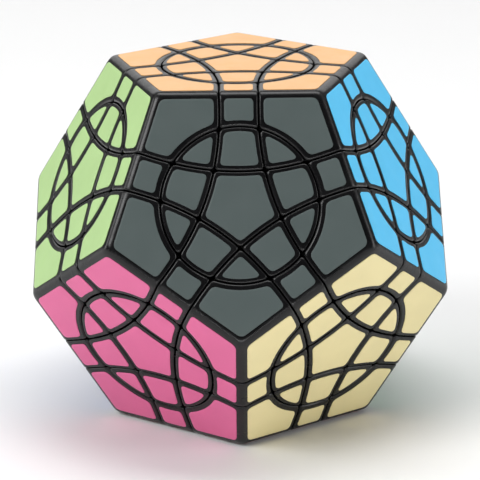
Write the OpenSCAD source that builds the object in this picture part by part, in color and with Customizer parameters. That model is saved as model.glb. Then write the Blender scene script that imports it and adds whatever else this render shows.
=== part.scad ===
// Twelve-sided twisty puzzle with a round cut on every face.
// It stands on its red face, +Z up, with its origin at the middle of that face. Sizes are in mm.

/* [Overall size] */
// Length of one edge of the dodecahedron
edge_length = 41; // [40:0.5:46]

/* [Cuts] */
// Half-angle of the cone that cuts a face's layer free, from the puzzle's centre
layer_angle = 53; // [52:0.25:54]
// Half-angle of the same cut where it steps in, between the feet and the outer shell
step_angle = 43.5; // [42:0.25:45]
// Radius of the round cut as a share of the edge length
disc_share = 0.48; // [0.46:0.01:0.49]
// Depth of the round cut under the face
disc_depth = 6.4; // [6:0.1:6.6]
// Clearance between neighbouring pieces
gap = 0.3; // [0.25:0.05:0.4]

/* [Running spheres] */
// Radius under the feet of the edges and corners
foot_bottom = 21; // [20:0.5:22]
// Radius of the slide between the feet and the hubs' flanges
foot_top = 27; // [26:0.5:28]
// Radius of the slide between the flanges and the outer shell
flange_top = 33; // [32:0.5:33.5]

/* [Disc lip] */
// How far the lip at the bottom of a disc reaches under the outer pieces
lip_reach = 1.5; // [1:0.1:1.8]
// Height of that lip
lip_height = 1.6; // [1.2:0.1:2]

/* [Core and hardware] */
// Radius of the core's ball
ball_r = 11; // [9:0.5:13]
// Radius of the arms that stand on the ball
arm_r = 3.6; // [3.2:0.1:3.8]
// Radius of the posts that the hubs turn on
post_r = 2.4; // [2:0.1:2.5]
// Radius of the screws' shanks
shank_r = 1.2; // [1:0.1:1.4]
// Radius of the screws' heads
head_r = 3.3; // [3:0.1:3.4]
// Radius of the springs' coils
coil_r = 3.55; // [3.5:0.05:3.7]
// Radius of the springs' wire
wire_r = 0.35; // [0.3:0.05:0.4]
// Turns of a spring
coil_turns = 3.5; // [3:0.5:4.5]

/* [Hidden] */
$fn = 72;
half = gap / 2;
tilt = acos(1 / sqrt(5));                  // angle between neighbouring faces' axes
golden = (1 + sqrt(5)) / 2;
inradius = edge_length * golden ^ 2 / (2 * sqrt(3 - golden));
reach = 2 * edge_length;                   // past every surface of the puzzle
disc_r = disc_share * edge_length;
disc_floor = inradius - disc_depth;
seat = 30;                                 // height of the springs' seats above the centre
post_top = 35.6;
washer_t = 0.6;
washer_margin = 0.2;                       // how far the washers reach past the springs
head_t = 1.5;
counterbore_r = 4.55;                      // around the spring and the cap's stem
stem_r = 4.2;
shank_depth = 12;
hub_reach = 16;                            // wider than a hub's flange
coil_steps = 10;                           // points along one turn of a spring
wire_sides = 5;
coil_play = 0.02;                          // between a spring's ends and what they press on
cone_start = 8;                            // the cones start inside the core
neck_margin = 1;                           // degrees by which an edge's neck clears the hubs' flanges
overlap = 1;                               // how far joined lengths of one piece run into each other
touching = 0.4;                            // above this product two faces' axes are neighbours
plastic = "#1d1d20";
steel = "#b9bcc2";

// Faces: 0 on top, 1 to 5 the upper ring, 6 to 10 the lower ring, 11 underneath.
COLOURS = ["orange", "grey", "sky", "purple", "yellow", "lime",
           "cream", "green", "white", "blue", "pink", "red"];
BOTTOM = 11;
TURNING = [0:10];
ALL_FACES = [0:11];

function polar(f) = f == 0 ? 0 : f <= 5 ? tilt : f <= 10 ? 180 - tilt : 180;
function turn(f) = f == 0 || f == BOTTOM ? 0 : f <= 5 ? -90 + 72 * (f - 1) : -54 + 72 * (f - 6);
function out(p, t) = [sin(p) * cos(t), sin(p) * sin(t), cos(p)];
function axis(f) = out(polar(f), turn(f));
function touch(f, g) = f != g && axis(f) * axis(g) > touching;
function around(f) = [for (g = ALL_FACES) if (touch(f, g)) g];
function ends(f, g) = [for (k = ALL_FACES) if (touch(f, k) && touch(g, k)) k];
// Where face g lies round face f's axis, and whether k comes next after it.
function spin(f, g) = atan2(axis(g) * [-sin(turn(f)), cos(turn(f)), 0],
                            axis(g) * out(polar(f) + 90, turn(f)));
function follows(f, g, k) = cross(axis(g), axis(k)) * axis(f) > 0;

function hub_name(f) = str("hub_set_", COLOURS[f]);
function edge_name(f, g) = str("edge_", COLOURS[f], "_", COLOURS[g]);
function corner_name(f, g, k) = str("corner_", COLOURS[f], "_", COLOURS[g], "_", COLOURS[k]);

// ---- frames and cutting shapes ----
// Each piece is drawn once, with its first face on top and that face's neighbours, the ring,
// around it at 0, 72, 144, 216 and 288 degrees. Then it is turned to where it belongs.

// Puts the puzzle's centre over the origin and face f on top.
module on_face(f) translate([0, 0, inradius]) rotate([0, polar(f), turn(f)]) children();

// The same, with face f's neighbour g at 0 degrees in the ring.
module beside(f, g) on_face(f) rotate([0, 0, spin(f, g)]) children();

module ring(k) rotate([0, tilt, 72 * k]) children();

// Everything under the plane of the face on top.
module under_face() translate([-reach, -reach, inradius - 2 * reach]) cube(2 * reach);

// A solid cone of half-angle a about the top face's axis, its surface moved out by grow.
module cone(a, grow) translate([0, 0, cone_start]) rotate([0, 0, 180])
    cylinder(r1 = cone_start * tan(a) + grow / cos(a), r2 = reach * tan(a) + grow / cos(a),
             h = reach - cone_start);

// A ball whose poles and seam lie away from the pieces near the top.
module ball(r) rotate([90, 0, 180]) sphere(r);

// The top face's disc, which stays while the layer around it turns.
module disc(grow) rotate([0, 0, 180]) rotate_extrude() polygon([
    [0, disc_floor - grow],
    [disc_r + lip_reach + grow, disc_floor - grow],
    [disc_r + lip_reach + grow, disc_floor + lip_height + grow],
    [disc_r + grow, disc_floor + lip_height + grow],
    [disc_r + grow, reach],
    [0, reach]]);

// What a shape shares with the layers of the top face and of ring face 0.
module in_two_layers(a) intersection() {
    children();
    cone(a, -half);
    ring(0) cone(a, -half);
}

// The same with ring face 1 as well.
module in_three_layers(a) intersection() {
    children();
    cone(a, -half);
    ring(0) cone(a, -half);
    ring(1) cone(a, -half);
}

// What a shape keeps outside the layers of the listed ring faces.
module out_of_layers(rings, a) difference() {
    children();
    for (k = rings) ring(k) cone(a, half);
}

// What a shape keeps outside a ball.
module above(r) difference() {
    children();
    ball(r);
}

// ---- visible pieces ----

// The piece at the corner between the top face and ring faces 0 and 1: shell part, neck and foot.
module corner_piece() {
    difference() {
        above(flange_top + half) in_three_layers(layer_angle) intersection() {
            under_face();
            ring(0) under_face();
            ring(1) under_face();
        }
        disc(half);
        ring(0) disc(half);
        ring(1) disc(half);
    }
    above(foot_top - overlap) in_three_layers(step_angle) ball(flange_top + overlap);
    above(foot_bottom + half) in_three_layers(layer_angle) ball(foot_top - half);
}

// The piece on the edge between the top face and ring face 0: shell part, flange, neck and foot.
module edge_piece() {
    difference() {
        above(flange_top + half) out_of_layers([1, -1], layer_angle) in_two_layers(layer_angle)
            intersection() {
                under_face();
                ring(0) under_face();
            }
        disc(half);
        ring(0) disc(half);
    }
    above(foot_top + half) out_of_layers([1, -1], step_angle) in_two_layers(step_angle)
        ball(flange_top - half);
    above(foot_top - overlap) out_of_layers([1, -1], layer_angle) in_two_layers(step_angle - neck_margin)
        ball(flange_top + overlap);
    above(foot_bottom + half) out_of_layers([1, -1], layer_angle) in_two_layers(layer_angle)
        ball(foot_top - half);
}

// The triangle on the top face's disc that the layers of ring faces 0 and 1 both carry.
module triangle_piece() intersection() {
    disc(-half);
    under_face();
    ring(0) cone(layer_angle, -half);
    ring(1) cone(layer_angle, -half);
}

// The petal on the top face's disc that only ring face 0's layer carries.
module petal_piece() out_of_layers([1, -1], layer_angle) intersection() {
    disc(-half);
    under_face();
    ring(0) cone(layer_angle, -half);
}

// The pentagon at the middle of a disc, with the stem that grips its screw's head.
module centre_cap() {
    out_of_layers([0:4], layer_angle) intersection() {
        disc(-half);
        under_face();
    }
    difference() {
        translate([0, 0, post_top + half]) cylinder(r = stem_r, h = disc_floor + overlap - post_top);
        translate([0, 0, post_top]) cylinder(r = head_r + half, h = head_t + half);
    }
}

// ---- inner pieces ----

// The hub that a layer turns on, in half section: a column, and a flange over the edges' feet.
module hub() rotate_extrude() difference() {
    union() {
        hub_cone(layer_angle) translate([0, foot_bottom - overlap])
            square([hub_reach, disc_floor - half - foot_bottom + overlap]);
        hub_cone(step_angle) difference() {
            circle(flange_top - half);
            circle(foot_top + half);
        }
    }
    circle(foot_bottom + half);
    translate([-reach, 0]) square([reach + post_r + half, reach]);
    translate([-reach, seat]) square([reach + counterbore_r, reach]);
}

// What a profile keeps inside the cone that just touches the neighbours' layers of half-angle a.
module hub_cone(a) intersection() {
    children();
    translate([0, half / sin(tilt - a)])
        polygon([[0, 0], [reach * sin(tilt - a), reach * cos(tilt - a)], [0, reach]]);
}

// The fixed core: a ball with an arm and a post for every face.
module core_spider() color(plastic) difference() {
    union() {
        translate([0, 0, inradius]) sphere(ball_r);
        for (f = ALL_FACES) on_face(f) {
            cylinder(r = arm_r, h = foot_bottom - half);
            cylinder(r = post_r, h = post_top);
        }
    }
    for (f = ALL_FACES) on_face(f)
        translate([0, 0, post_top - shank_depth]) cylinder(r = shank_r, h = shank_depth + overlap);
}

module face_screws() color(steel) for (f = ALL_FACES) on_face(f) {
    translate([0, 0, post_top - shank_depth]) cylinder(r = shank_r, h = shank_depth);
    translate([0, 0, post_top]) difference() {
        cylinder(r = head_r, h = head_t);
        translate([0, 0, head_t / 2]) cylinder(r = head_r / 2, h = head_t, $fn = 6);
    }
}

// The washers sit round the tops of the posts, under the screws' heads, and hold the springs down.
module spring_washers() color(steel) for (f = ALL_FACES) on_face(f)
    translate([0, 0, post_top - washer_t]) difference() {
        cylinder(r = coil_r + wire_r + washer_margin, h = washer_t);
        translate([0, 0, -overlap]) cylinder(r = post_r, h = washer_t + 2 * overlap);
    }

// A coil between the hub's seat and the washer, swept as rings of points along a helix.
module spring() {
    steps = coil_turns * coil_steps;
    low = seat + wire_r + coil_play;
    high = post_top - washer_t - wire_r - coil_play;
    points = [for (i = [0:steps], s = [0:wire_sides - 1])
        let (r = coil_r + wire_r * cos(360 * s / wire_sides), a = 360 * i / coil_steps)
        [r * cos(a), r * sin(a), low + (high - low) * i / steps + wire_r * sin(360 * s / wire_sides)]];
    sides = [for (i = [0:steps - 1], s = [0:wire_sides - 1])
        let (n = (s + 1) % wire_sides, a = i * wire_sides, b = a + wire_sides)
        [a + s, a + n, b + n, b + s]];
    first = [for (s = [wire_sides - 1:-1:0]) s];
    last = [for (s = [0:wire_sides - 1]) steps * wire_sides + s];
    polyhedron(points, concat(sides, [first, last]));
}

module face_springs() color(steel) for (f = ALL_FACES) on_face(f) spring();

// ---- nodes: the pieces that always move together ----

module centre_caps() color(plastic) for (f = ALL_FACES) beside(f, around(f)[0]) centre_cap();
module red_hub() color(plastic) on_face(BOTTOM) hub();

// The petals that face f's layer alone carries, one on each of its neighbours' discs.
module petals_of(f) for (g = around(f)) beside(g, f) petal_piece();

// The triangle on face f's disc between faces g and k.
module triangle_on(f, g, k)
    beside(f, follows(f, g, k) ? g : k) triangle_piece();

// The corner between faces f, g and k.
module corner_at(f, g, k)
    beside(f, follows(f, g, k) ? g : k) corner_piece();

// An edge piece with the two triangles beside its ends, which the same two layers carry.
module edge_and_triangles(f, g) {
    beside(f, g) edge_piece();
    for (m = ends(f, g)) triangle_on(m, f, g);
}

module hub_set(f) color(plastic) {
    on_face(f) hub();
    petals_of(f);
    if (touch(f, BOTTOM)) edge_and_triangles(f, BOTTOM);
}

module edge_set(f, g) color(plastic) {
    edge_and_triangles(f, g);
    if (touch(f, BOTTOM) && touch(g, BOTTOM)) corner_at(f, g, BOTTOM);
}

core_spider();
centre_caps();
face_screws();
face_springs();
spring_washers();
red_hub();  // hub_red
color(plastic) petals_of(BOTTOM);  // petals_of_red
for (f = TURNING)
    hub_set(f);
for (f = TURNING, g = TURNING)
    if (f < g && touch(f, g))
        edge_set(f, g);
for (f = TURNING, g = TURNING, k = TURNING)
    if (f < g && g < k && touch(f, g) && touch(f, k) && touch(g, k))
        color(plastic) corner_at(f, g, k);
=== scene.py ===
"""A twelve-sided twisty puzzle: glossy black moulded pieces with coloured vinyl stickers.

Each kind of piece is drawn once, as blocks that run outwards from the puzzle's centre, with its
first face on top and that face's neighbours in a ring around it. Then it is turned to each
place where the puzzle has one, and rides on the body that carries it."""

import math

import bpy
import numpy as np
from mathutils import Matrix, Vector


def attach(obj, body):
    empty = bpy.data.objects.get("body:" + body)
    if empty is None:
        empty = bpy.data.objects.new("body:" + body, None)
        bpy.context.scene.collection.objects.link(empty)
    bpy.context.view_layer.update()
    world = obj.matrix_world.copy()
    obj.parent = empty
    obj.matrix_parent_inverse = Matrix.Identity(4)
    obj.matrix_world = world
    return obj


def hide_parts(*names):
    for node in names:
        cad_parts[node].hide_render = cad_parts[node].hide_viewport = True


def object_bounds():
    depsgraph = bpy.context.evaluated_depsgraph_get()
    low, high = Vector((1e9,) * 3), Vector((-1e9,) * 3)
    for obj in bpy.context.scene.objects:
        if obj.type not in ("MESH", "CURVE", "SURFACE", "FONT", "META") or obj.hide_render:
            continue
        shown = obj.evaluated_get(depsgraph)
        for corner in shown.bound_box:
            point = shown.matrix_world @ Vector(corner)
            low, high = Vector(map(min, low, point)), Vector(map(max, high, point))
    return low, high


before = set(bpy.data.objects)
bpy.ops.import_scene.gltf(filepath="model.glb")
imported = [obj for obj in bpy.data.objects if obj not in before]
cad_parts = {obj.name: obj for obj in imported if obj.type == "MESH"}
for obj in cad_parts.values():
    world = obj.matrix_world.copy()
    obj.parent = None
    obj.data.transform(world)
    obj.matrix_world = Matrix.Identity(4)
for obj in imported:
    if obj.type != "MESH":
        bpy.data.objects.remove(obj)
cad_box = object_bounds()

# ---- the puzzle's sizes, worked out from its height on the frame ----

MM = 0.001
TILT = math.acos(1 / math.sqrt(5))  # angle between neighbouring faces' axes
INRADIUS = (cad_box[1][2] - cad_box[0][2]) / 2 / MM
EDGE = INRADIUS / 1.113516  # the ratio holds for every regular dodecahedron
CENTRE = np.array([0, 0, INRADIUS])  # the puzzle's middle, on the frame

LAYER = math.radians(53)  # half-angle of the cone that frees a face's layer
STEP = math.radians(43.5)  # the same between the feet and the outer shell
DISC_R = 0.48 * EDGE  # radius of the round cut
DISC = math.atan(DISC_R / INRADIUS)
GAP = 0.3  # between neighbouring pieces
FOOT_BOTTOM, FOOT_TOP, SHELL_BOTTOM = 21, 27, 33  # spheres between feet, flanges and shell
DISC_BOTTOM = 39.6  # where caps, petals and triangles end
JOINED = 1  # how far two lengths of one piece run into each other
HUB_PLACE = 29  # about the middle of a hub, out from the centre

STICKER_T = 0.15
PIECE_ROUND = 0.48  # radius along the rim of a piece's outer face
FOOT_ROUND = 0.4  # the same on feet and flanges, and the most that an underside has
NECK_ROUND = 0.2
CREASE_ROUND = 1.8  # blend where two faces of one piece meet
OUTLINE_ROUND = 0.9  # blend at the corners of a piece's outline
STICKER_INSET = 1.25  # from a cut's middle to the sticker's edge
CREASE_INSET = 1.45  # from the plane through a crease to the sticker's edge
STICKER_ROUND = 1.15  # blend at a sticker's corners
SUNK = 1.3 * STICKER_T  # how far a sticker reaches down from its top, a little into the plastic

# Mesh layout: rings as shares of the way out from a piece's middle, and rays in degrees.
PLAIN_RINGS = (0.35, 0.7)
FINE_RINGS = (0.02, 0.05, 0.09, 0.14, 0.2, 0.28, 0.4, 0.55, 0.7, 0.85)
UNDERSIDE_RINGS = (0.8, 0.6, 0.4, 0.2)
CREASE_STEPS = (0.01, 1, 2.2, 3.6, 5.2, 7.2, 9.6, 12)  # from a crease, on either side
CREASE_REACH = 13  # even rays that are nearer than this to a crease make way

COLOURS = ["orange", "grey", "sky", "purple", "yellow", "lime",
           "cream", "green", "white", "blue", "pink", "red"]
BOTTOM = 11  # the red face, on the floor
NEIGHBOURS = 0.4  # only neighbouring faces' axes have a larger dot product
PROBE = 0.01  # step, in radians, of the search for a block's outline
STICKER_PROBE = 0.2  # the same in mm for a sticker's
HALVINGS = 30  # of the last step of either search

# ---- faces and frames ----


def direction(polar, turn):
    return np.array([math.sin(polar) * math.cos(turn), math.sin(polar) * math.sin(turn), math.cos(polar)])


def face_axis(f):
    """Faces: 0 on top, 1 to 5 the upper ring, 6 to 10 the lower ring, 11 underneath."""
    if f in (0, BOTTOM):
        return direction(0 if f == 0 else math.pi, 0)
    if f <= 5:
        return direction(TILT, math.radians(-90 + 72 * (f - 1)))
    return direction(math.pi - TILT, math.radians(-54 + 72 * (f - 6)))


AXES = [face_axis(f) for f in range(12)]


def touch(f, g):
    return f != g and AXES[f] @ AXES[g] > NEIGHBOURS


def around(f):
    """The five faces beside face f."""
    return [g for g in range(12) if touch(f, g)]


def ends(f, g):
    """The two faces at the ends of the edge between faces f and g."""
    return [k for k in range(12) if touch(f, k) and touch(g, k)]


def beside(f, g):
    """Turns a piece drawn with face f on top and face g at 0 degrees in the ring to its place."""
    z = AXES[f]
    x = AXES[g] - (AXES[g] @ z) * z
    x /= np.linalg.norm(x)
    return np.column_stack([x, np.cross(z, x), z])


def first_of(f, g, k):
    """Which of g and k comes first round face f."""
    return g if np.cross(AXES[g], AXES[k]) @ AXES[f] > 0 else k


TOP = np.array([0.0, 0.0, 1.0])


def ring(k):
    """The axis of neighbour k of a piece that is drawn with its first face on top."""
    return direction(TILT, math.radians(72 * k))


# ---- regions: cuts are (axis, half-angle, True if the piece is inside the cone) ----


def corner_cuts(a=LAYER):
    return [(TOP, a, True), (ring(0), a, True), (ring(1), a, True)]


def edge_cuts(a=LAYER, end=LAYER):
    return [(TOP, a, True), (ring(0), a, True), (ring(1), end, False), (ring(-1), end, False)]


def off_discs(*axes):
    return [(a, DISC, False) for a in axes]


TRIANGLE_CUTS = [(TOP, DISC, True), (ring(0), LAYER, True), (ring(1), LAYER, True)]
PETAL_CUTS = [(TOP, DISC, True), (ring(0), LAYER, True),
              (ring(1), LAYER, False), (ring(-1), LAYER, False)]
CAP_CUTS = [(ring(k), LAYER, False) for k in range(5)]


def unit(v):
    return v / np.linalg.norm(v, axis=-1, keepdims=True)


def smooth_min(values, blend):
    """The lowest of the values, rounded off where two of them meet."""
    out = values[0]
    for v in values[1:]:
        h = np.clip(blend - np.abs(out - v), 0, None) / blend
        out = np.minimum(out, v) - h * h * blend / 4
    return out


def cut_margins(points, cuts):
    """How far each point lies inside each cut, in mm."""
    r = np.linalg.norm(points, axis=-1)
    d = points / r[..., None]
    out = []
    for axis, angle, inside in cuts:
        off = angle - np.arccos(np.clip(d @ axis, -1, 1))
        out.append(r * np.sin(off if inside else -off))
    return out


def surface(d, faces, flat):
    """Distance from the centre to the rounded faces along unit directions d."""
    return smooth_min([flat / np.clip(d @ n, 0.05, None) for n in faces], CREASE_ROUND)


# ---- meshes ----


def rays(centre, count, creases=()):
    """Unit steps sideways from the centre direction, closer together along the creases."""
    if creases:
        x = unit(creases[0] - (creases[0] @ centre) * centre)
    else:
        x = unit(np.cross([0.3, 0.9, 0.1], centre))
    y = np.cross(centre, x)
    turns = list(np.linspace(0, 2 * math.pi, count, endpoint=False))
    for c in creases:
        at = math.atan2(c @ y, c @ x)
        clear = math.radians(CREASE_REACH)
        turns = [t for t in turns if abs(math.remainder(t - at, 2 * math.pi)) > clear]
        turns += [at + math.radians(side * step) for step in CREASE_STEPS for side in (-1, 1)]
    turns = np.sort(np.mod(turns, 2 * math.pi))
    return np.cos(turns)[:, None] * x + np.sin(turns)[:, None] * y


def block(cuts, centre, low, top, rim=PIECE_ROUND, count=96, creases=(), rings=PLAIN_RINGS):
    """A closed block between the sphere of radius low and the surface top(d), inside the cuts.

    It is laid out as rings around the centre direction. The outer rings follow the quarter
    round of its rim, then its walls run in towards the puzzle's centre, and the last rings lie
    on its underside."""
    centre = unit(np.asarray(centre, float))
    side = rays(centre, count, creases)

    def at(t):
        return unit(centre + np.tan(t)[..., None] * side)

    def margin(t):
        d = at(t)
        return smooth_min(cut_margins(d * top(d)[..., None], cuts), OUTLINE_ROUND) - GAP / 2

    def reach(level):
        """Angle out along each ray where the margin falls to the level."""
        a, b = np.zeros(len(side)), np.full(len(side), 2 * PROBE)
        for _ in range(200):
            more = margin(b) > level
            if not more.any():
                break
            a, b = np.where(more, b, a), np.where(more, b + PROBE, b)
        for _ in range(HALVINGS):
            m = (a + b) / 2
            more = margin(m) > level
            a, b = np.where(more, m, a), np.where(more, b, m)
        return a

    loops = []
    inner = reach(rim)
    for share in rings:
        t = inner * share
        d = at(t)
        loops.append(d * top(d)[:, None])
    for q in np.linspace(0, math.pi / 2, 6):
        t = reach(rim * (1 - math.sin(q)))
        d = at(t)
        loops.append(d * (top(d) - rim * (1 - math.cos(q)))[:, None])
    wall = at(reach(0.0))
    foot_rim = min(FOOT_ROUND, rim)
    loops.append(wall * (low + foot_rim))
    for q in (0.5, 1.0):
        t = reach(foot_rim * q)
        loops.append(at(t) * (low + foot_rim * (1 - q)))
    for share in UNDERSIDE_RINGS:
        loops.append(at(t * share) * low)
    tip = centre * top(centre[None])[0]
    base = centre * low
    return lathe(loops, tip, base)


def lathe(loops, first, last):
    """Vertices and faces of stacked rings with a point at each end."""
    n = len(loops[0])
    verts = np.vstack([[first], *loops, [last]])
    faces = []
    for j in range(n):
        k = (j + 1) % n
        faces.append((0, 1 + j, 1 + k))
        for i in range(len(loops) - 1):
            a, b = 1 + i * n, 1 + (i + 1) * n
            faces.append((a + j, b + j, b + k, a + k))
        a = 1 + (len(loops) - 1) * n
        faces.append((a + j, len(verts) - 1, a + k))
    return verts, faces


def sphere_top(r):
    return lambda d: np.full(len(d), float(r))


def faces_top(*faces):
    return lambda d: surface(d, faces, INRADIUS - STICKER_T)


VERTEX = unit(TOP + ring(0) + ring(1))  # towards a corner piece
MIDDLE = unit(TOP + ring(0))  # towards an edge piece


def corner_block():
    creases = [unit(TOP + ring(0)), unit(TOP + ring(1)), unit(ring(0) + ring(1))]
    shell = block(corner_cuts() + off_discs(TOP, ring(0), ring(1)), VERTEX, SHELL_BOTTOM + GAP / 2,
                  faces_top(TOP, ring(0), ring(1)), count=132, creases=creases, rings=FINE_RINGS)
    neck = block(corner_cuts(STEP), VERTEX, FOOT_TOP - JOINED,
                 sphere_top(SHELL_BOTTOM + JOINED), NECK_ROUND, 36)
    foot = block(corner_cuts(), VERTEX, FOOT_BOTTOM, sphere_top(FOOT_TOP - GAP / 2), FOOT_ROUND, 48)
    return [shell, neck, foot]


def edge_block():
    creases = [unit(TOP + ring(0) + ring(1)), unit(TOP + ring(0) + ring(-1))]
    shell = block(edge_cuts() + off_discs(TOP, ring(0)), MIDDLE, SHELL_BOTTOM + GAP / 2,
                  faces_top(TOP, ring(0)), count=110, creases=creases, rings=FINE_RINGS)
    flange = block(edge_cuts(STEP, STEP), MIDDLE, FOOT_TOP + GAP / 2,
                   sphere_top(SHELL_BOTTOM - GAP / 2), FOOT_ROUND, 48)
    neck = block(edge_cuts(STEP), MIDDLE, FOOT_TOP - JOINED,
                 sphere_top(SHELL_BOTTOM + JOINED), NECK_ROUND, 48)
    foot = block(edge_cuts(), MIDDLE, FOOT_BOTTOM, sphere_top(FOOT_TOP - GAP / 2), FOOT_ROUND, 48)
    return [shell, flange, neck, foot]


def face_point(cuts, toward):
    """The point of the top face, on the line towards a direction, with the most room around it."""
    spots = INRADIUS * TOP + np.linspace(0, DISC_R, 240)[:, None] * toward
    return spots[np.argmax(smooth_min(cut_margins(spots, cuts), 0.1))]


def flat_dir(turn):
    """A level direction, turn degrees round from the first neighbour of the top face."""
    return direction(math.pi / 2, math.radians(turn))


def triangle_block():
    middle = face_point(TRIANGLE_CUTS, flat_dir(36))
    return [block(TRIANGLE_CUTS, middle, DISC_BOTTOM, faces_top(TOP), count=72)]


def petal_block():
    middle = face_point(PETAL_CUTS, flat_dir(0))
    return [block(PETAL_CUTS, middle, DISC_BOTTOM, faces_top(TOP), count=84)]


def cap_block():
    return [block(CAP_CUTS, TOP, DISC_BOTTOM, faces_top(TOP), count=100)]


# ---- stickers: thin slabs on the top face ----


def sticker(cuts, toward, creases=(), count=160):
    """A sticker on the top face inside the cuts and inside the planes through the creases."""

    def margin(p):
        room = [m - STICKER_INSET for m in cut_margins(p, cuts)]
        for n in creases:
            room.append(p @ unit(TOP - n) - CREASE_INSET)
        return smooth_min(room, STICKER_ROUND)

    spots = INRADIUS * TOP + np.linspace(0, EDGE, 400)[:, None] * toward
    middle = spots[np.argmax(margin(spots))]
    turns = np.linspace(0, 2 * math.pi, count, endpoint=False)
    side = np.column_stack([np.cos(turns), np.sin(turns), np.zeros(count)])

    def reach(level):
        a, b = np.zeros(count), np.full(count, 0.3)
        for _ in range(300):
            more = margin(middle + b[:, None] * side) > level
            if not more.any():
                break
            a, b = np.where(more, b, a), np.where(more, b + STICKER_PROBE, b)
        for _ in range(HALVINGS):
            m = (a + b) / 2
            more = margin(middle + m[:, None] * side) > level
            a, b = np.where(more, m, a), np.where(more, b, m)
        return a

    lip = STICKER_T / 2
    loops = []
    for inset, drop in ((0.6, 0), (lip, 0), (lip * 0.3, lip * 0.3), (0, lip), (0, SUNK)):
        loops.append(middle + reach(inset)[:, None] * side - drop * TOP)
    return lathe(loops, middle, middle - SUNK * TOP)


STICKERS = {
    "corner": sticker([(ring(0), LAYER, True), (ring(1), LAYER, True), (TOP, DISC, False)],
                      flat_dir(36), (ring(0), ring(1))),
    "edge": sticker([(ring(0), LAYER, True), (ring(1), LAYER, False), (ring(-1), LAYER, False),
                     (TOP, DISC, False)], flat_dir(0), (ring(0),)),
    "triangle": sticker(TRIANGLE_CUTS, flat_dir(36)),
    "petal": sticker(PETAL_CUTS, flat_dir(0)),
    "cap": sticker(CAP_CUTS, flat_dir(0)),
}
BLOCKS = {"corner": corner_block(), "edge": edge_block(), "triangle": triangle_block(),
          "petal": petal_block(), "cap": cap_block()}

# ---- materials ----

NOISE_MIDDLE = (0.3, 0.7)  # where most of a noise's values lie


def new_material(name):
    m = bpy.data.materials.new(name)
    m.use_nodes = True
    tree = m.node_tree
    shader = tree.nodes["Principled BSDF"]
    place = tree.nodes.new("ShaderNodeTexCoord")
    return m, tree, shader, place


def noise(tree, place, scale, detail=4):
    n = tree.nodes.new("ShaderNodeTexNoise")
    n.inputs["Scale"].default_value = scale
    n.inputs["Detail"].default_value = detail
    tree.links.new(place.outputs["Object"], n.inputs["Vector"])
    return n.outputs["Fac"]


def roughen(tree, shader, source, low, high):
    """A roughness that drifts from low to high over the noise's middle range."""
    spread = tree.nodes.new("ShaderNodeMapRange")
    spread.inputs["From Min"].default_value, spread.inputs["From Max"].default_value = NOISE_MIDDLE
    spread.inputs["To Min"].default_value = low
    spread.inputs["To Max"].default_value = high
    tree.links.new(source, spread.inputs["Value"])
    tree.links.new(spread.outputs["Result"], shader.inputs["Roughness"])


def mottle(tree, shader, source, dark, light):
    """A base colour that drifts between two shades over the noise's middle range."""
    ramp = tree.nodes.new("ShaderNodeValToRGB")
    for stop, position, shade in zip(ramp.color_ramp.elements, NOISE_MIDDLE, (dark, light)):
        stop.position = position
        stop.color = (*shade, 1)
    tree.links.new(source, ramp.inputs["Fac"])
    tree.links.new(ramp.outputs["Color"], shader.inputs["Base Color"])


def relief(tree, shader, source, strength, distance):
    """A fine bump, with its depth in metres."""
    bump = tree.nodes.new("ShaderNodeBump")
    bump.inputs["Strength"].default_value = strength
    bump.inputs["Distance"].default_value = distance
    tree.links.new(source, bump.inputs["Height"])
    tree.links.new(bump.outputs["Normal"], shader.inputs["Normal"])


def moulded_plastic(name, shade, rough_low, rough_high):
    """Black moulded plastic: a faint mottle, handling marks in its gloss, and a very fine grain."""
    m, tree, shader, place = new_material(name)
    mottle(tree, shader, noise(tree, place, 60), [0.8 * s for s in shade], [1.2 * s for s in shade])
    roughen(tree, shader, noise(tree, place, 140, 6), rough_low, rough_high)
    shader.inputs["IOR"].default_value = 1.5
    shader.inputs["Specular IOR Level"].default_value = 0.36
    relief(tree, shader, noise(tree, place, 900, 3), 0.12, 0.00008)
    return m


def vinyl(name, colour):
    """Satin sticker vinyl: slightly uneven ink, a soft sheen and a fine orange peel."""
    m, tree, shader, place = new_material(name)
    mottle(tree, shader, noise(tree, place, 90), [0.965 * c for c in colour],
           [min(1, 1.03 * c) for c in colour])
    roughen(tree, shader, noise(tree, place, 200, 5), 0.34, 0.46)
    shader.inputs["IOR"].default_value = 1.45
    shader.inputs["Specular IOR Level"].default_value = 0.35
    relief(tree, shader, noise(tree, place, 1500, 2), 0.10, 0.00004)
    return m


def plated_steel(name):
    """Zinc-plated steel with a patchy gloss."""
    m, tree, shader, place = new_material(name)
    mottle(tree, shader, noise(tree, place, 300), (0.5, 0.51, 0.53), (0.66, 0.67, 0.68))
    shader.inputs["Metallic"].default_value = 1.0
    roughen(tree, shader, noise(tree, place, 500, 5), 0.22, 0.42)
    relief(tree, shader, noise(tree, place, 1200, 2), 0.1, 0.00005)
    return m


# Sticker colours as linear red, green and blue.
INKS = {
    "orange": (0.79, 0.445, 0.195), "grey": (0.082, 0.104, 0.102), "sky": (0.11, 0.58, 0.94),
    "purple": (0.17, 0.06, 0.33), "yellow": (0.90, 0.74, 0.06), "lime": (0.41, 0.60, 0.26),
    "cream": (0.80, 0.70, 0.38), "green": (0.02, 0.22, 0.07), "white": (0.84, 0.85, 0.85),
    "blue": (0.02, 0.07, 0.32), "pink": (0.71, 0.145, 0.315), "red": (0.56, 0.025, 0.025)}

black = moulded_plastic("black_plastic_gloss", (0.004, 0.004, 0.0045), 0.20, 0.32)
core_black = moulded_plastic("core_plastic_satin", (0.02, 0.02, 0.021), 0.38, 0.5)
steel = plated_steel("plated_steel")
inks = {c: vinyl("vinyl_" + c, INKS[c]) for c in COLOURS}

# ---- pieces ----


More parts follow.
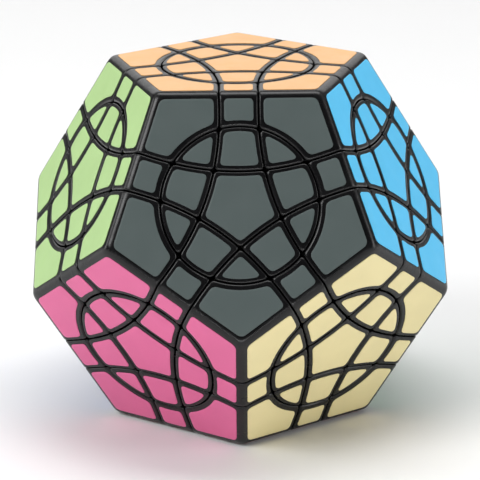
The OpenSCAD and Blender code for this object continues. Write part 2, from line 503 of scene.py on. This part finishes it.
def make_object(name, parts, body):
    """One object from parts of (vertices, faces, material), with vertices in mm on the frame."""
    verts, faces, picks, mats, start = [], [], [], [], 0
    for v, f, material in parts:
        if material not in mats:
            mats.append(material)
        verts.append(v)
        faces += [tuple(i + start for i in face) for face in f]
        picks += [mats.index(material)] * len(f)
        start += len(v)
    mesh = bpy.data.meshes.new(name)
    mesh.from_pydata((np.vstack(verts) * MM).tolist(), [], faces)
    for m in mats:
        mesh.materials.append(m)
    mesh.polygons.foreach_set("material_index", picks)
    mesh.polygons.foreach_set("use_smooth", [True] * len(faces))
    mesh.update()
    obj = bpy.data.objects.new(name, mesh)
    bpy.context.scene.collection.objects.link(obj)
    even = obj.modifiers.new("even_normals", "WEIGHTED_NORMAL")
    even.weight = 90
    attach(obj, body)
    return obj


def placed(shapes, f, g, material):
    """Shapes turned to face f, with their first neighbour on face g."""
    turn = beside(f, g)
    return [(v @ turn.T + CENTRE, faces, material) for v, faces in shapes]


def corner_parts(f, g, k):
    """A corner piece and its three stickers."""
    plastic = placed(BLOCKS["corner"], f, first_of(f, g, k), black)
    stickers = []
    for a, b, c in ((f, g, k), (g, k, f), (k, f, g)):
        stickers += placed([STICKERS["corner"]], a, first_of(a, b, c), inks[COLOURS[a]])
    return plastic, stickers


def edge_parts(f, g):
    """An edge piece with the two triangles beside its ends, and all their stickers."""
    plastic = placed(BLOCKS["edge"], f, g, black)
    stickers = placed([STICKERS["edge"]], f, g, inks[COLOURS[f]])
    stickers += placed([STICKERS["edge"]], g, f, inks[COLOURS[g]])
    for m in ends(f, g):
        first = first_of(m, f, g)
        plastic += placed(BLOCKS["triangle"], m, first, black)
        stickers += placed([STICKERS["triangle"]], m, first, inks[COLOURS[m]])
    return plastic, stickers


def petal_parts(f):
    """The petals that face f's layer carries, one on each of its neighbours' discs."""
    plastic, stickers = [], []
    for g in around(f):
        plastic += placed(BLOCKS["petal"], g, f, black)
        stickers += placed([STICKERS["petal"]], g, f, inks[COLOURS[g]])
    return plastic, stickers


def piece(name, parts, body, replaced=None):
    """The plastic and the stickers of one body, in place of its CAD node where one is named."""
    plastic, stickers = parts
    shell = make_object(name + "_plastic", plastic, body)
    make_object(name + "_stickers", stickers, body)
    if replaced:
        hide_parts(replaced)


def loose_part(node, near):
    """The closed solid of a CAD node whose middle lies nearest a point, as vertices and faces in mm."""
    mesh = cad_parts[node].data
    co = np.array([v.co for v in mesh.vertices]) / MM
    keys = {}
    same = [keys.setdefault(tuple(np.round(p, 4)), len(keys)) for p in co]
    parent = list(range(len(keys)))

    def root(i):
        while parent[i] != i:
            parent[i] = parent[parent[i]]
            i = parent[i]
        return i

    for p in mesh.polygons:
        ids = [same[i] for i in p.vertices]
        for i in ids[1:]:
            parent[root(i)] = root(ids[0])
    spots = np.zeros((len(keys), 3))
    spots[same] = co
    groups = {}
    for i in range(len(keys)):
        groups.setdefault(root(i), []).append(i)
    best = min(groups, key=lambda g: np.linalg.norm(spots[groups[g]].mean(0) - near))
    chosen = groups[best]
    number = {i: n for n, i in enumerate(chosen)}
    faces = []
    for p in mesh.polygons:
        ids = [same[i] for i in p.vertices]
        if ids[0] in number and len(set(ids)) == len(ids):
            faces.append(tuple(number[i] for i in ids))
    return spots[chosen], faces


def hub_piece(f, node, body):
    """The hub keeps its CAD shape; only its node's other pieces are redrawn."""
    verts, faces = loose_part(node, CENTRE + HUB_PLACE * AXES[f])
    obj = make_object("hub_" + COLOURS[f], [(verts, faces, core_black)], body)
    for p in obj.data.polygons:
        p.use_smooth = False
    obj.modifiers.clear()
    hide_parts(node)


def joined(parts, more):
    """Two sets of plastic and stickers as one."""
    return parts[0] + more[0], parts[1] + more[1]


def layer_pieces(f):
    """Face f's petals and hub and, where it touches the red face, the edge between the two."""
    body = "layer_" + COLOURS[f]
    parts = petal_parts(f)
    if touch(f, BOTTOM):
        parts = joined(parts, edge_parts(f, BOTTOM))
    piece("petals_of_" + COLOURS[f], parts, body)
    hub_piece(f, "hub_set_" + COLOURS[f], body)


def edge_piece(f, g):
    """The edge between two faces and, where both touch the red face, the corner beside it."""
    name = "edge_%s_%s" % (COLOURS[f], COLOURS[g])
    parts = edge_parts(f, g)
    if touch(f, BOTTOM) and touch(g, BOTTOM):
        parts = joined(parts, corner_parts(f, g, BOTTOM))
    piece(name, parts, name, name)


def corner_piece(f, g, k):
    name = "corner_%s_%s_%s" % (COLOURS[f], COLOURS[g], COLOURS[k])
    piece(name, corner_parts(f, g, k), name, name)


def cap_pieces():
    plastic, stickers = [], []
    for f in range(12):
        plastic += placed(BLOCKS["cap"], f, around(f)[0], black)
        stickers += placed([STICKERS["cap"]], f, around(f)[0], inks[COLOURS[f]])
    piece("centre_caps", (plastic, stickers), "core", "centre_caps")


for f in range(BOTTOM):
    layer_pieces(f)
    for g in range(f + 1, BOTTOM):
        if touch(f, g):
            edge_piece(f, g)
            for k in range(g + 1, BOTTOM):
                if touch(f, k) and touch(g, k):
                    corner_piece(f, g, k)
cap_pieces()
piece("petals_of_red", petal_parts(BOTTOM), "core", "petals_of_red")

CARRIED_OVER = {"core_spider": core_black, "hub_red": core_black, "face_screws": steel,
                "face_springs": steel, "spring_washers": steel}
for node, material in CARRIED_OVER.items():
    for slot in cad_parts[node].material_slots:
        slot.material = material

# ---- floor, light and camera ----


def floor():
    """A plain sheet of pale card that sweeps up far behind the puzzle."""
    half_width, front, back, bend, rise = 14.0, -14.0, 1.8, 0.8, 4.0
    sunk = 0.0002  # keeps the card clear of the puzzle's underside
    steps = 16
    profile = [(front, 0.0), (back, 0.0)]
    for i in range(1, steps + 1):
        a = math.pi / 2 * i / steps
        profile.append((back + bend * math.sin(a), bend * (1 - math.cos(a))))
    profile.append((back + bend, rise))
    verts = [(x, y, z - sunk) for y, z in profile for x in (-half_width, half_width)]
    faces = [(2 * i, 2 * i + 1, 2 * i + 3, 2 * i + 2) for i in range(len(profile) - 1)]
    mesh = bpy.data.meshes.new("floor_card")
    mesh.from_pydata(verts, [], faces)
    for p in mesh.polygons:
        p.use_smooth = True
    m, tree, shader, place = new_material("floor_card")
    mottle(tree, shader, noise(tree, place, 3), (0.86, 0.86, 0.86), (0.88, 0.88, 0.88))
    shader.inputs["Roughness"].default_value = 0.9
    shader.inputs["Specular IOR Level"].default_value = 0.1
    mesh.materials.append(m)
    obj = bpy.data.objects.new("floor_card", mesh)
    bpy.context.scene.collection.objects.link(obj)


def area_light(name, place, size, power):
    """A soft panel that faces the puzzle's middle, its place and size in metres."""
    data = bpy.data.lights.new(name, "AREA")
    data.shape = "RECTANGLE"
    data.size, data.size_y = size
    data.energy = power
    obj = bpy.data.objects.new(name, data)
    obj.location = place
    way = CENTRE * MM - np.array(place)
    obj.rotation_euler = Vector(way).to_track_quat("-Z", "Y").to_euler()
    bpy.context.scene.collection.objects.link(obj)


def studio_world():
    """Pale walls behind and above the puzzle, and a dim room in front of it."""
    world = bpy.data.worlds.new("studio")
    world.use_nodes = True
    tree = world.node_tree
    back = tree.nodes["Background"]
    place = tree.nodes.new("ShaderNodeTexCoord")
    split = tree.nodes.new("ShaderNodeSeparateXYZ")
    tree.links.new(place.outputs["Generated"], split.inputs["Vector"])
    wall = tree.nodes.new("ShaderNodeMapRange")
    wall.interpolation_type = "SMOOTHSTEP"
    for socket, value in (("From Min", -0.55), ("From Max", 0.25), ("To Min", 0.02), ("To Max", 0.7)):
        wall.inputs[socket].default_value = value
    tree.links.new(split.outputs["Y"], wall.inputs["Value"])
    tree.links.new(wall.outputs["Result"], back.inputs["Strength"])
    back.inputs["Color"].default_value = (1, 1, 1, 1)
    bpy.context.scene.world = world


def add_camera():
    """Looks at the puzzle's middle from 18 degrees above its height."""
    azimuth, elevation, roll = math.radians(-0.24), math.radians(17.89), math.radians(-0.6)
    distance = 17.68 * EDGE * MM
    back = np.array([math.sin(azimuth) * math.cos(elevation),
                     -math.cos(azimuth) * math.cos(elevation), math.sin(elevation)])
    level = np.array([math.cos(azimuth), math.sin(azimuth), 0])
    right = math.cos(roll) * level + math.sin(roll) * np.cross(back, level)
    data = bpy.data.cameras.new("camera")
    data.lens, data.sensor_width = 208.7, 36
    data.shift_x, data.shift_y = 0.0011, -0.0146
    data.clip_start, data.clip_end = 0.05, 50
    obj = bpy.data.objects.new("camera", data)
    axes = np.eye(4)
    axes[:3, 0], axes[:3, 1], axes[:3, 2] = right, np.cross(back, right), back
    axes[:3, 3] = CENTRE * MM + back * distance
    obj.matrix_world = Matrix(axes.tolist())
    bpy.context.scene.collection.objects.link(obj)
    bpy.context.scene.camera = obj


floor()
area_light("key_light", (-0.75, -0.6, 0.95), (0.6, 0.5), 7.5)
area_light("top_light", (0.05, 0.15, 1.05), (0.9, 0.5), 6)
area_light("left_light", (-1.2, 0.1, 0.4), (0.4, 0.8), 3.2)
area_light("back_light", (0.0, 1.5, 0.75), (2.2, 0.8), 6)
area_light("right_light", (1.1, -0.3, 0.3), (0.4, 0.8), 4.2)
area_light("low_fill", (0.0, -1.3, 0.1), (0.9, 0.12), 3.5)
studio_world()
add_camera()
bpy.context.scene.view_settings.view_transform = "Standard"  # colours as they are, with no film curve
